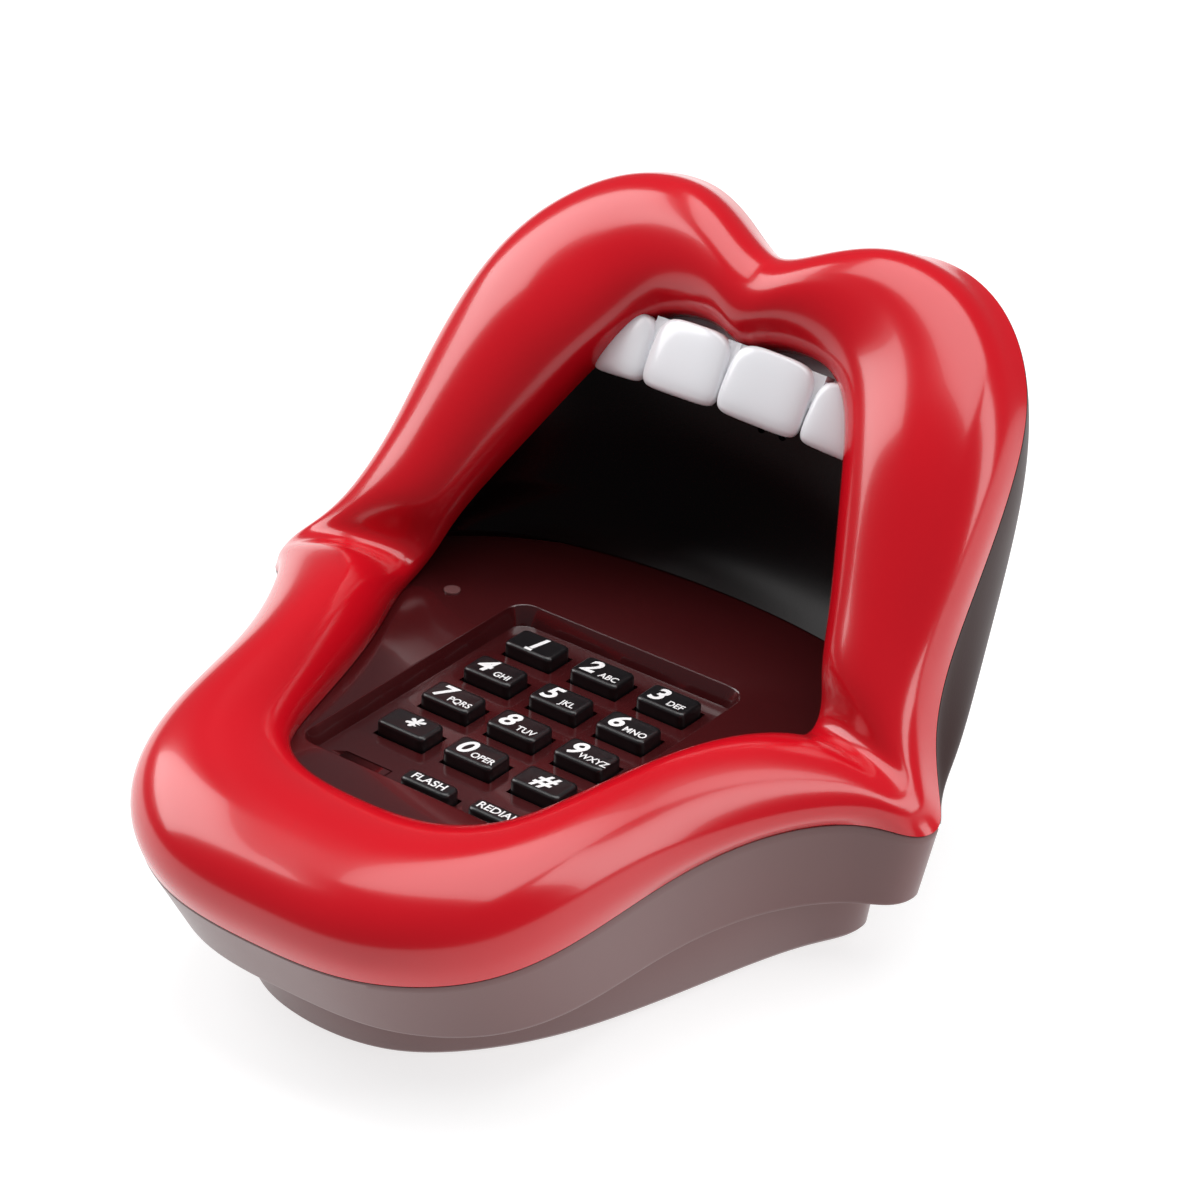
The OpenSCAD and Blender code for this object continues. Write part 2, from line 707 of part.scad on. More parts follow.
module board_screws() {
    color(METAL) {
        for (place = board_post_places) both_sides(place)
            translate([0, 0, main_board_z + board_t]) rotate([180, 0, 0]) screw(2.4, pilot_r - 0.05, 7);
        for (place = keypad_screw_places) on_keypad() both_sides(place)
            translate([0, 0, keypad_board_top - board_t]) screw(2.4, pilot_r - 0.05, 6);
    }
}

module base_screws() {
    color(METAL) for (place = base_screw_places) both_sides(place)
        translate([0, 0, screw_seat_z]) screw(3, pilot_r - 0.05, 19);
}

module back_screws() {
    color(METAL) for (place = back_screw_places) for (side = [-1, 1])
        on_upper_lip(side * place[0], place[1], -4) screw(2.9, pilot_r - 0.05, 10);
}

module microphone_capsule() {
    color(METAL) translate(mic_place) difference() {
        cylinder(r = 4, h = 5);
        translate([0, 0, -1]) cylinder(r = 1, h = 2);
    }
}

module ringer_disc() {
    color(BRASS) translate([ringer_place[0], ringer_place[1], shell_floor + 0.2]) {
        cylinder(r = 12, h = 0.5);
        cylinder(r = 8, h = 1.2);
    }
}

module ballast_weight() {
    color(METAL) translate([0, -68, shell_floor + 0.2]) slab([36, 20, 8], 3);
}

switch_bottom = 15.4;
module hook_plunger() {
    color(KEY_BLACK) translate([0, plunger_y, 0]) {
        translate([0, 0, plunger_tip]) cylinder(r = plunger_r, h = 8);
        translate([0, 0, 6.9]) cylinder(r = 6.4, h = 1.6);
        translate([0, 0, 8]) cylinder(r = 2.5, h = 4);
    }
}

module hook_spring() {
    color(METAL) translate([0, plunger_y, 0]) for (z = [9.1:1.4:14.8])
        translate([0, 0, z]) rotate_extrude() translate([5, 0]) circle(r = 0.45, $fn = 16);
}

module hook_switch() {
    color(KEY_BLACK) translate([0, plunger_y, 0]) {
        translate([-9, -6, switch_bottom]) cube([18, 12, main_board_z - switch_bottom]);
        translate([0, 0, 12.3]) cylinder(r = 1.5, h = switch_bottom - 12.2);
    }
}

// Modular jack with its opening to the back
module line_jack() {
    color(GLOSS_BLACK) translate(jack_place) difference() {
        cube(jack_size, center = true);
        translate([0, 4, -0.5]) cube([9.7, jack_size[1] - 3, 6.8], center = true);
        translate([0, 4, 3]) cube([4, jack_size[1] - 3, 2.6], center = true);
    }
}

module switch_body(place) {
    color(KEY_BLACK) translate(place) difference() {
        translate([0, -3.5, 0]) cube([14, 7, 6.6], center = true);
        translate([0, 0, 0]) cube([switch_travel + 5, 3, 3.4], center = true);
    }
}

// Knob of a slide switch, at the end of its travel towards the left
module switch_knob(place, reach) {
    color(KEY_BLACK) translate(place + [-switch_travel / 2, 0, 0]) {
        translate([-2, -1.2, -1.3]) cube([4, reach + 1.2, 2.6]);
        for (x = [-1.2, 0, 1.2]) translate([x - 0.25, reach - 0.1, -1.3]) cube([0.5, 0.5, 2.6]);
    }
}

module foot_pads() {
    color(RUBBER_GREY) {
        both_sides([20, -66]) cylinder(r = 7, h = pad_t);
        both_sides([58, 16]) cylinder(r = 7, h = pad_t);
    }
}

in_place() lip_ring();
in_place() bottom_shell();
in_place() back_shell();
in_place() keypad_plate();
in_place() throat_liner();
in_place() upper_teeth();
in_place() dial_key(-1, 1);  // key_1
in_place() dial_key(0, 1);  // key_2
in_place() dial_key(1, 1);  // key_3
in_place() dial_key(-1, 0);  // key_4
in_place() dial_key(0, 0);  // key_5
in_place() dial_key(1, 0);  // key_6
in_place() dial_key(-1, -1);  // key_7
in_place() dial_key(0, -1);  // key_8
in_place() dial_key(1, -1);  // key_9
in_place() dial_key(-1, -2);  // key_star
in_place() dial_key(0, -2);  // key_0
in_place() dial_key(1, -2);  // key_hash
in_place() key(0, function_row_y, function_key_d);  // key_flash
in_place() key(key_pitch_x, function_row_y, function_key_d);  // key_redial
in_place() led_lens();
in_place() dome_mat();
in_place() keypad_board();
in_place() main_board();
in_place() board_screws();
in_place() receiver_capsule();
in_place() receiver_cable();
in_place() microphone_capsule();
in_place() ringer_disc();
in_place() hook_plunger();
in_place() hook_spring();
in_place() hook_switch();
in_place() ballast_weight();
in_place() line_jack();
in_place() switch_body(ringer_switch_place);  // ringer_switch_body
in_place() switch_knob(ringer_switch_place, 10);  // ringer_switch_knob
in_place() switch_body(tone_switch_place);  // tone_switch_body
in_place() switch_knob(tone_switch_place, 11.3);  // tone_switch_knob
in_place() foot_pads();
in_place() base_screws();
in_place() back_screws();
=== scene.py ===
"""Looks of the open-mouth telephone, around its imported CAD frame.

Sizes are in millimetres and are turned into metres where a mesh is made. As in the CAD source, Y is
measured from the middle dial key (its place in the frame is KEY_Y) and Z from the table.
"""

import json
import math

import bpy
import numpy as np
from mathutils import Matrix, Vector


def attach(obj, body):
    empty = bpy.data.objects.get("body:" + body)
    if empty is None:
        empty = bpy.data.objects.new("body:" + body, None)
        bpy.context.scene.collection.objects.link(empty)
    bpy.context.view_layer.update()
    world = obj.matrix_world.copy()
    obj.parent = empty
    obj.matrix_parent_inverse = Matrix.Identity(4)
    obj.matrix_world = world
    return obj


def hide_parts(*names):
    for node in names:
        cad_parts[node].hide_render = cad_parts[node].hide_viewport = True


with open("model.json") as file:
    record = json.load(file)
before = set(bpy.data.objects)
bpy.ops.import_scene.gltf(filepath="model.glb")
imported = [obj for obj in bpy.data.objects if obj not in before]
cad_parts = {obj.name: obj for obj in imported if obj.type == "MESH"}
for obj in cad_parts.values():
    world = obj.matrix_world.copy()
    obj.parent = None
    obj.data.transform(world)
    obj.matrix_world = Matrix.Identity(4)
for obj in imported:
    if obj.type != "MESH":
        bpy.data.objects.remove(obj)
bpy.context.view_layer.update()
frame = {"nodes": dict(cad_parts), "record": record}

MM = 0.001
KEY_Y = 2.72
CASING = "casing"

CORNER_X, CORNER_Y, CORNER_Z = 95.0, 13.1, 38.6
UPPER_LEAN = 45.0
WALL = 2.4
SEAM_GAP = 0.4
KEY_TOP_Z = 42.0
KEYPAD_TILT = 3.9


# ------------------------------------------------------------------ camera

CAMERA_PLACE = (483.0, -625.0, 573.1)
CAMERA_TURN = 37.063
CAMERA_DROP = 32.586
CAMERA_LENS = 125.56


def add_camera():
    a, e = math.radians(CAMERA_TURN), math.radians(CAMERA_DROP)
    back = Vector((math.sin(a) * math.cos(e), -math.cos(a) * math.cos(e), math.sin(e)))
    right = Vector((math.cos(a), math.sin(a), 0))
    up = back.cross(right)
    x, y, z = CAMERA_PLACE
    turn = Matrix((right, up, back)).transposed().to_4x4()
    data = bpy.data.cameras.new("camera")
    data.lens = CAMERA_LENS
    data.sensor_width = 36
    data.clip_end = 20
    camera = bpy.data.objects.new("camera", data)
    camera.matrix_world = Matrix.Translation((x * MM, (y + KEY_Y) * MM, z * MM)) @ turn
    bpy.context.collection.objects.link(camera)
    bpy.context.scene.camera = camera


add_camera()


# ------------------------------------------------------------------ materials

def moulded(name, colour, shade=0.9, roughness=0.2, spread=0.06, coat=0.0, bump=0.02, grain=900.0,
            metallic=0.0, transmission=0.0, sheen=0.0, specular=0.5):
    """A moulded or coated surface: slow drifts of colour and gloss, and a fine grain in the relief."""
    mat = bpy.data.materials.new(name)
    mat.use_nodes = True
    nodes, links = mat.node_tree.nodes, mat.node_tree.links
    shader = nodes["Principled BSDF"]
    place = nodes.new("ShaderNodeTexCoord")

    def noise(scale, detail):
        n = nodes.new("ShaderNodeTexNoise")
        n.inputs["Scale"].default_value = scale
        n.inputs["Detail"].default_value = detail
        links.new(place.outputs["Object"], n.inputs["Vector"])
        return n.outputs["Fac"]

    ramp = nodes.new("ShaderNodeValToRGB")
    ramp.color_ramp.elements[0].position = 0.3
    ramp.color_ramp.elements[1].position = 0.7
    ramp.color_ramp.elements[0].color = (*[c * shade for c in colour], 1)
    ramp.color_ramp.elements[1].color = (*colour, 1)
    links.new(noise(18.0, 2.0), ramp.inputs["Fac"])
    links.new(ramp.outputs["Color"], shader.inputs["Base Color"])

    rough = nodes.new("ShaderNodeMapRange")
    rough.inputs["To Min"].default_value = roughness - spread / 2
    rough.inputs["To Max"].default_value = roughness + spread / 2
    links.new(noise(60.0, 4.0), rough.inputs["Value"])
    links.new(rough.outputs["Result"], shader.inputs["Roughness"])

    relief = nodes.new("ShaderNodeBump")
    relief.inputs["Strength"].default_value = bump
    relief.inputs["Distance"].default_value = 0.0004
    links.new(noise(grain, 3.0), relief.inputs["Height"])
    links.new(relief.outputs["Normal"], shader.inputs["Normal"])

    shader.inputs["Metallic"].default_value = metallic
    shader.inputs["Specular IOR Level"].default_value = specular
    shader.inputs["Coat Weight"].default_value = coat
    shader.inputs["Coat Roughness"].default_value = 0.04
    shader.inputs["Transmission Weight"].default_value = transmission
    shader.inputs["Sheen Weight"].default_value = sheen
    return mat


MATERIALS = {
    "red_plastic": moulded("red_plastic", (0.6, 0.004, 0.012), 0.9, 0.2, 0.05, 0.25, 0.004, 500),
    "brown_plastic": moulded("brown_plastic", (0.15, 0.062, 0.06), 0.88, 0.34, 0.06, 0.15, 0.03, 1500),
    # dark_brown_plastic is the bottom shell's brown plastic made much darker and duller: painted shade for
    # the back shell, which faces away from the lights
    "dark_brown_plastic": moulded("dark_brown_plastic", (0.03, 0.008, 0.007), 0.88, 0.4, 0.06, 0.0, 0.03,
                                  1500, specular=0.12),
    "maroon_plastic": moulded("maroon_plastic", (0.052, 0.006, 0.007), 0.85, 0.2, 0.06, 0.4, 0.01, 900),
    "black_plastic": moulded("black_plastic", (0.006, 0.002, 0.002), 0.8, 0.25, 0.05, 0.0, 0.01, 700,
                             specular=0.12),
    "tooth_plastic": moulded("tooth_plastic", (0.86, 0.87, 0.9), 0.96, 0.24, 0.06, 0.4, 0.01, 600),
    "key_plastic": moulded("key_plastic", (0.008, 0.007, 0.008), 0.8, 0.3, 0.08, 0.1, 0.03, 2500),
    "key_print": moulded("key_print", (0.8, 0.8, 0.8), 0.94, 0.5, 0.08, 0.0, 0.02, 3000),
    # lens_plastic is kept a light pinkish tint so the small lens shows bright: partly the lens's own tint,
    # partly painted highlight
    "lens_plastic": moulded("lens_plastic", (0.24, 0.1, 0.1), 0.9, 0.06, 0.03, 0.8, 0.01, 900,
                            transmission=0.3),
    "part_plastic": moulded("part_plastic", (0.02, 0.02, 0.022), 0.85, 0.45, 0.08, 0.0, 0.05, 2500),
    "grey_rubber": moulded("grey_rubber", (0.07, 0.07, 0.072), 0.85, 0.7, 0.1, 0.0, 0.15, 2500, sheen=0.1),
    "board": moulded("board", (0.015, 0.09, 0.035), 0.7, 0.35, 0.1, 0.2, 0.05, 1800),
    "screw_steel": moulded("screw_steel", (0.6, 0.6, 0.62), 0.9, 0.32, 0.12, 0.0, 0.05, 4000, metallic=1.0),
    "bare_metal": moulded("bare_metal", (0.55, 0.55, 0.57), 0.9, 0.4, 0.12, 0.0, 0.05, 3000, metallic=1.0),
    "brass_sheet": moulded("brass_sheet", (0.68, 0.48, 0.2), 0.9, 0.28, 0.1, 0.0, 0.04, 3000, metallic=1.0),
}

SLOT_OF = {s["node"]: s["material_slot"] for s in frame["record"]["subparts"]}
for node_name, cad_node in frame["nodes"].items():
    for cad_slot in cad_node.material_slots:
        cad_slot.material = MATERIALS[SLOT_OF[node_name]]


# ------------------------------------------------------------------ curves and meshes

def cubic(t):
    """Weights of four neighbouring rows at t, from 0 to 1 between the middle two."""
    before, after = 3 * t ** 3 - 6 * t ** 2 + 4, -3 * t ** 3 + 3 * t ** 2 + 3 * t + 1
    return np.stack([(1 - t) ** 3, before, after, t ** 3]) / 6


def round_spline(rows, u):
    """Values at u of a closed cubic B-spline over the rows."""
    rows, u = np.asarray(rows, float), np.asarray(u, float)
    i = np.floor(u).astype(int)
    w = cubic(u - i)
    return sum(w[k][:, None] * rows[(i + k - 1) % len(rows)] for k in range(4))


def open_spline(rows, f):
    """Values at f, from 0 to 1, of a cubic B-spline that starts and ends at its outer rows."""
    rows = np.asarray(rows, float)
    last = len(rows) - 1
    rows = np.vstack([2 * rows[0] - rows[1], rows, 2 * rows[-1] - rows[-2]])
    u = np.minimum(np.asarray(f, float) * last, last - 1e-6)
    i = np.floor(u).astype(int)
    w = cubic(u - i)
    return sum(w[k][:, None] * rows[i + k] for k in range(4))


def mix(a, b, f):
    return a + (b - a) * f


def keypad_to_frame(points):
    """Points of the keypad's plane (X right, Y back, Z out of the key tops), in millimetres."""
    a = math.radians(-KEYPAD_TILT)
    p = np.asarray(points, float)
    y = p[:, 1] * math.cos(a) - p[:, 2] * math.sin(a)
    z = p[:, 1] * math.sin(a) + p[:, 2] * math.cos(a) + KEY_TOP_Z
    return np.stack([p[:, 0], y, z], 1)


def upper_lip_to_frame(points):
    """Points of the upper lip's plane (X right, Y along the lean, Z towards the crest), in millimetres."""
    a = math.radians(UPPER_LEAN)
    p = np.asarray(points, float)
    y = CORNER_Y + p[:, 1] * math.cos(a) - p[:, 2] * math.sin(a)
    z = CORNER_Z + p[:, 1] * math.sin(a) + p[:, 2] * math.cos(a)
    return np.stack([p[:, 0], y, z], 1)


def add_object(name, points, faces, slot, body=CASING, sharp=35.0, smooth=True):
    points = np.asarray(points, float) + (0, KEY_Y, 0)
    mesh = bpy.data.meshes.new(name)
    mesh.from_pydata((points * MM).tolist(), [], faces)
    mesh.validate()
    if smooth:
        mesh.shade_smooth()
        mesh.set_sharp_from_angle(angle=math.radians(sharp))
    obj = bpy.data.objects.new(name, mesh)
    bpy.context.collection.objects.link(obj)
    mesh.materials.append(MATERIALS[slot])
    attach(obj, body)
    return obj


def ring_faces(rings, columns, wrap=True, start=0, flip=False):
    """Quads between rings of points that follow each other; wrap joins the last ring to the first."""
    faces = []
    for i in range(rings if wrap else rings - 1):
        a0, b0 = start + i * columns, start + ((i + 1) % rings) * columns
        for j in range(columns):
            k = (j + 1) % columns
            quad = (a0 + j, a0 + k, b0 + k, b0 + j)
            faces.append(quad[::-1] if flip else quad)
    return faces


def stacked(name, rings, slot, body=CASING, sharp=35.0):
    """Solid of rings that run counter-clockwise seen from above and follow each other upwards."""
    n, m = len(rings), len(rings[0])
    faces = ring_faces(n, m, wrap=False)
    faces.append(tuple(range(m - 1, -1, -1)))
    faces.append(tuple((n - 1) * m + j for j in range(m)))
    return add_object(name, np.concatenate(rings), faces, slot, body, sharp)


def between_sheets(outer, inner):
    """Points and faces between two sheets; rows run upwards, columns from the right round the back."""
    rows, columns = outer.shape[:2]
    rings = np.concatenate([outer, inner[:, ::-1]], axis=1)
    m = 2 * columns
    faces = ring_faces(rows, m, wrap=False)
    for j in range(columns - 1):
        faces.append((j, m - 1 - j, m - 2 - j, j + 1))
        base = (rows - 1) * m
        faces.append((base + j, base + j + 1, base + m - 2 - j, base + m - 1 - j))
    return rings.reshape(-1, 3), faces


def thick_sheet(name, outer, inner, slot, sharp=35.0):
    return add_object(name, *between_sheets(outer, inner), slot, sharp=sharp)


def add_shapes(name, shapes, slot, node):
    """One object of several shapes, each given by its points and faces, that stands for a CAD node."""
    points, faces = [], []
    for shape_points, shape_faces in shapes:
        start = sum(len(p) for p in points)
        points.append(shape_points)
        faces += [tuple(i + start for i in face) for face in shape_faces]
    obj = add_object(name, np.concatenate(points), faces, slot)
    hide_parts(node)
    return obj


def cut(obj, cutters):
    """Cuts the cutters out of obj and removes them."""
    for cutter in cutters:
        mod = obj.modifiers.new("cut", "BOOLEAN")
        mod.operation = "DIFFERENCE"
        mod.solver = "EXACT"
        mod.object = cutter
    bpy.context.view_layer.update()
    shape = bpy.data.meshes.new_from_object(obj.evaluated_get(bpy.context.evaluated_depsgraph_get()))
    obj.modifiers.clear()
    obj.data = shape
    for cutter in cutters:
        bpy.data.objects.remove(cutter)
    obj.data.set_sharp_from_angle(angle=math.radians(35))


def cutter(points, faces):
    mesh = bpy.data.meshes.new("cutter")
    mesh.from_pydata(((np.asarray(points, float) + (0, KEY_Y, 0)) * MM).tolist(), [], faces)
    obj = bpy.data.objects.new("cutter", mesh)
    bpy.context.collection.objects.link(obj)
    return obj


def cylinder(place, radius, low, high, steps=48):
    """Points and faces of an upright cylinder."""
    a = np.arange(steps) * 2 * math.pi / steps
    ring = np.stack([place[0] + radius * np.cos(a), place[1] + radius * np.sin(a)], 1)
    points = np.vstack([np.column_stack([ring, np.full(steps, z)]) for z in (low, high)])
    ends = [tuple(range(steps - 1, -1, -1)), tuple(range(steps, 2 * steps))]
    return points, ring_faces(2, steps, wrap=False) + ends


def block(centre, size):
    """Points and faces of an upright block."""
    x, y, z = np.array(size, float) / 2
    ring = np.array([(-x, -y), (x, -y), (x, y), (-x, y)])
    points = np.vstack([np.column_stack([ring, np.full(4, h)]) for h in (-z, z)]) + centre
    return points, ring_faces(2, 4, wrap=False) + [(3, 2, 1, 0), (4, 5, 6, 7)]


# ------------------------------------------------------------------ lips

# [lean, seam x, seam run, seam height, inner x, inner run, inner height, crest height, overhang]
LIP_ROWS = [
    [0, 0, -120, -2, 0, -84, 10, 19.5, 3],
    [0, 27, -120, -1, 19, -83, 10, 20, 3],
    [0, 50, -105, 0, 32, -73, 9.2, 21, 2],
    [0, 58, -82, 2, 37, -57, 8.2, 22, 2],
    [0, 60, -55, 3, 42, -39, 7, 22, 4],
    [0, 67, -30, 4, 48, -21, 5.8, 21, 6],
    [0, 81, -12, 4, 55, -6, 4.9, 17, 4],
    [8, 92, -8, 2, 57.5, 2, 4.3, 13, -2],
    [22, CORNER_X, 0, 0, 57.5, 9, 3, 12, -3],
    [34, 90, 6, -2, 56.5, 15, 1.5, 13, -1],
    [UPPER_LEAN, 82, 18, -2, 54.5, 22, 0.5, 14, -1],
    [UPPER_LEAN, 78, 35, -2, 51, 34, 0, 14, 0],
    [UPPER_LEAN, 77, 55, -1, 44, 52, 0, 16, 1],
    [UPPER_LEAN, 75, 80, 0, 38, 68, 0, 18, 0],
    [UPPER_LEAN, 69, 101, 0, 32, 80, 0, 16, -2],
    [UPPER_LEAN, 51, 119, 0, 24, 88, 0, 15, -3],
    [UPPER_LEAN, 27, 122, 0, 12, 89, 0, 16, -2],
    [UPPER_LEAN, 10, 111, 0, 5, 87, 0, 16, 0],
    [UPPER_LEAN, 0, 106, 0, 0, 85, 0, 15, 0],
]
LAST_ROW = len(LIP_ROWS) - 1
CORNER_ROW = 8.1
FLIP = np.array([1, -1, 1, 1, -1, 1, 1, 1, 1])
LIP_LOOP = np.array(LIP_ROWS + [list(np.array(r) * FLIP) for r in LIP_ROWS[-2:0:-1]], float)


def lip_rows(u, t=0.0):
    """Rows of the lips at u, with their walls moved inwards by t."""
    r = round_spline(LIP_LOOP, u)
    w = np.hypot(r[:, 1] - r[:, 4], r[:, 2] - r[:, 5])
    dx, ds = (r[:, 1] - r[:, 4]) / w, (r[:, 2] - r[:, 5]) / w
    r[:, 1] -= dx * t
    r[:, 2] -= ds * t
    r[:, 4] += dx * t
    r[:, 5] += ds * t
    r[:, 7] -= t
    return r


def lean_points(lean, x, run, height):
    a = np.radians(lean)
    return np.stack([x, CORNER_Y + run * np.cos(a) - height * np.sin(a),
                     CORNER_Z + run * np.sin(a) + height * np.cos(a)], -1)


def lip_sections(r, steps):
    """Cross-sections of the lips, each from the seam over the crest to the inner edge."""
    lean, ox, os, oq, ix, is_, iq, h, g = r.T
    w = np.hypot(ox - ix, os - is_)
    dx, ds = (ox - ix) / w, (os - is_) / w
    p = np.stack([w, w + g, w * 0.92 + g * 0.6, w * 0.55, w * 0.14, w * 0 - 1.5, w * 0])
    q = np.stack([oq, mix(oq, h, 0.33), h * 0.8 + oq * 0.1, h * 1.1, h * 0.96, mix(iq, h, 0.45), iq])
    f = np.linspace(0, 1, steps + 1)
    p, q = open_spline(p, f), open_spline(q, f)
    return lean_points(lean, ix + dx * p, is_ + ds * p, q).transpose(1, 0, 2)


def seam_points(u, t=0.0):
    r = lip_rows(u, t)
    return lean_points(r[:, 0], r[:, 1], r[:, 2], r[:, 3] - SEAM_GAP)


def add_lips():
    stations, over, under = 480, 44, 20
    u = np.arange(stations) * len(LIP_LOOP) / stations
    outer = lip_sections(lip_rows(u), over)
    inner = lip_sections(lip_rows(u, WALL), under)[:, ::-1]
    rings = np.concatenate([outer, inner], axis=1)
    m = rings.shape[1]
    faces = ring_faces(stations, m, flip=True)
    lips = add_object("lips", rings.reshape(-1, 3), faces, "red_plastic", sharp=50)
    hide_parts("lip_ring")
    return lips


add_lips()


# ------------------------------------------------------------------ teeth

# share of the tooth's height, half width and half thickness as shares
TOOTH_ROWS = [[0, 0.05, 0.05], [0.0, 0.62, 0.3], [0.02, 0.84, 0.58], [0.08, 0.95, 0.82], [0.22, 1, 0.98],
              [0.55, 0.99, 1], [0.8, 0.95, 0.94], [0.95, 0.8, 0.8], [1, 0.5, 0.6], [1, 0.05, 0.05]]
TOOTH_T, TOOTH_TILT = 6.0, 11.0
# middle across, run, height in the upper lip's plane, turn, width and length
TEETH = {"tooth_middle": [11, 68.5, 4.2, 5.5, 22.3, 17.5], "tooth_side": [30.2, 68.8, 1, 14, 16.9, 16.0]}


def squircle(count, e):
    a = (np.arange(count) + 0.5) * 2 * math.pi / count
    c, s = np.cos(a), np.sin(a)
    return np.stack([np.sign(c) * abs(c) ** (2 / e), np.sign(s) * abs(s) ** (2 / e)], 1)


def turn(points, axis, degrees):
    m = np.array(Matrix.Rotation(math.radians(degrees), 3, axis))
    return points @ m.T


def on_tooth(points, side, x, run, height, yaw):
    points = turn(turn(np.asarray(points, float), "X", TOOTH_TILT - 90), "Y", side * yaw)
    return upper_lip_to_frame(points + (side * x, run, height))


def add_teeth():
    rows = open_spline(TOOTH_ROWS, np.linspace(0, 1, 60))
    outline = squircle(72, 3.0)
    backing = []
    for name, (x, run, height, yaw, width, length) in TEETH.items():
        for side, word in ((1, "right"), (-1, "left")):
            rings = [np.stack([outline[:, 0] * r[1] * width / 2, outline[:, 1] * r[2] * TOOTH_T / 2,
                               np.full(len(outline), r[0] * length)], 1) for r in rows]
            points = on_tooth(np.concatenate(rings), side, x, run, height, yaw)
            m, n = len(outline), len(rows)
            faces = ring_faces(n, m, wrap=False)
            faces += [tuple(range(m - 1, -1, -1)), tuple((n - 1) * m + j for j in range(m))]
            tooth = add_object(name + "_" + word, points, faces, "tooth_plastic", sharp=80)
            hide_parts("upper_teeth")
            points, faces = block((0, 2.5, length - 4.5), (width + 3, 5, 7))
            backing.append((on_tooth(points, side, x, run, height, yaw), faces))
    points, faces = block((0, 87, -2), (56, 14, 3.2))
    backing.append((upper_lip_to_frame(points), faces))
    add_shapes("tooth_backing", backing, "tooth_plastic", "upper_teeth")


add_teeth()


# ------------------------------------------------------------------ casing

REAR_HALF_W, REAR_DEPTH, TIP_REACH, REAR_FROM = 84.0, 63.0, 3.0, 0.035
STEP_Z, PAD_T = 18.0, 1.2
STEP_SCALE_X, STEP_SCALE_Y, REAR_STEP_Y = 0.95, 0.92, 44.0
FRONT_STEPS, REAR_STEPS = 260, 130
FOOT_ROWS = [
    [0, -89], [19, -86], [34, -73], [46, -56], [55, -34], [62, -14], [69, 3], [77, 13],
    [72, 21], [46, 30], [20, 34], [0, 35],
]
FOOT_LOOP = np.array(FOOT_ROWS + [[-x, y] for x, y in FOOT_ROWS[-2:0:-1]], float)
FOOT_CORNER, FOOT_Y = 7.2, -15.0


def rear_points(side, t):
    """Points of the casing's back, level with the mouth corners; side runs from the right to the left."""
    c, s = np.cos(np.pi * side), np.sin(np.pi * side)
    return np.stack([(REAR_HALF_W - t) * c + TIP_REACH * c ** 3, CORNER_Y + (REAR_DEPTH - t) * s], -1)


def rim_outline(t):
    u = np.linspace(-CORNER_ROW, CORNER_ROW, FRONT_STEPS + 1)
    front = seam_points(u + len(LIP_LOOP), t)
    side = mix(REAR_FROM, 1 - REAR_FROM, (np.arange(REAR_STEPS) + 0.5) / REAR_STEPS)
    rear = rear_points(side, t)
    return np.vstack([front, np.column_stack([rear, np.full(len(rear), CORNER_Z - SEAM_GAP)])])


def casing_ring(f, t, lift=0.0):
    """Outline of the casing at level f, from the rim at 0 down to the step at 1."""
    top = rim_outline(t)
    behind = np.arange(len(top)) > FRONT_STEPS
    curl = f ** 3
    x = top[:, 0] * mix(1, np.where(behind, 0.93, STEP_SCALE_X), f)
    front = CORNER_Y + (top[:, 1] - CORNER_Y) * mix(1, STEP_SCALE_Y, f)
    back = mix(top[:, 1], CORNER_Y + (REAR_STEP_Y - CORNER_Y) * (top[:, 1] - CORNER_Y) / REAR_DEPTH, curl)
    return np.column_stack([x, np.where(behind, back, front), mix(top[:, 2], STEP_Z + t + lift, f)])


def foot_ring(grow, z, t):
    n = len(FOOT_LOOP)
    i = np.arange(FRONT_STEPS + REAR_STEPS + 1)
    u = np.where(i <= FRONT_STEPS, mix(-FOOT_CORNER, FOOT_CORNER, i / FRONT_STEPS),
                 mix(FOOT_CORNER, n - FOOT_CORNER, (i - FRONT_STEPS) / (REAR_STEPS + 1)))
    p = round_spline(FOOT_LOOP, u + n) - (0, FOOT_Y)
    shrink = (grow - t / np.hypot(p[:, 0], p[:, 1]))[:, None]
    return np.column_stack([p * shrink + (0, FOOT_Y), np.full(len(p), z)])


def pull_in(ring, by):
    """The ring moved inwards by a distance, level by level."""
    along = np.roll(ring, -1, 0) - np.roll(ring, 1, 0)
    out = np.column_stack([along[:, 1], -along[:, 0]])
    out /= np.linalg.norm(out, axis=1)[:, None]
    moved = ring.copy()
    moved[:, :2] -= out * by
    return moved


BASE_SCREWS, BOARD_POSTS = [[41, -48], [46, 6]], [[28, -50], [28, 10]]
HEAD_R, SCREW_R, PILOT_R, HEAD_DEPTH = 3.4, 1.8, 1.3, 14
BOSS_R, POST_R, TUBE_R = 4.4, 3.6, 4.4
BASE_BOSS_TOP, BOARD_POST_R, BOARD_H = 24, 3.2, 21
JACK_PLACE, JACK_SIZE, SLOT_PLAY = (26, 58.5, 31.4), (13, 15, 10.4), 0.6
SWITCH_PLACES, SWITCH_TRAVEL = [(-16, 65.4, 31.5), (-40, 57.5, 31.5)], 4
PLUNGER_Y, PLUNGER_R = -36, 4
MIC_PLACE = (0, -91.5)
RINGER_PLACE, RINGER_HOLE_R = (0, 18), 1.2
HOLE_CIRCLE_R = 6


def hole_circle():
    """Places of six holes on a circle."""
    angles = [k * math.pi / 3 for k in range(6)]
    return [(HOLE_CIRCLE_R * math.cos(a), HOLE_CIRCLE_R * math.sin(a)) for a in angles]


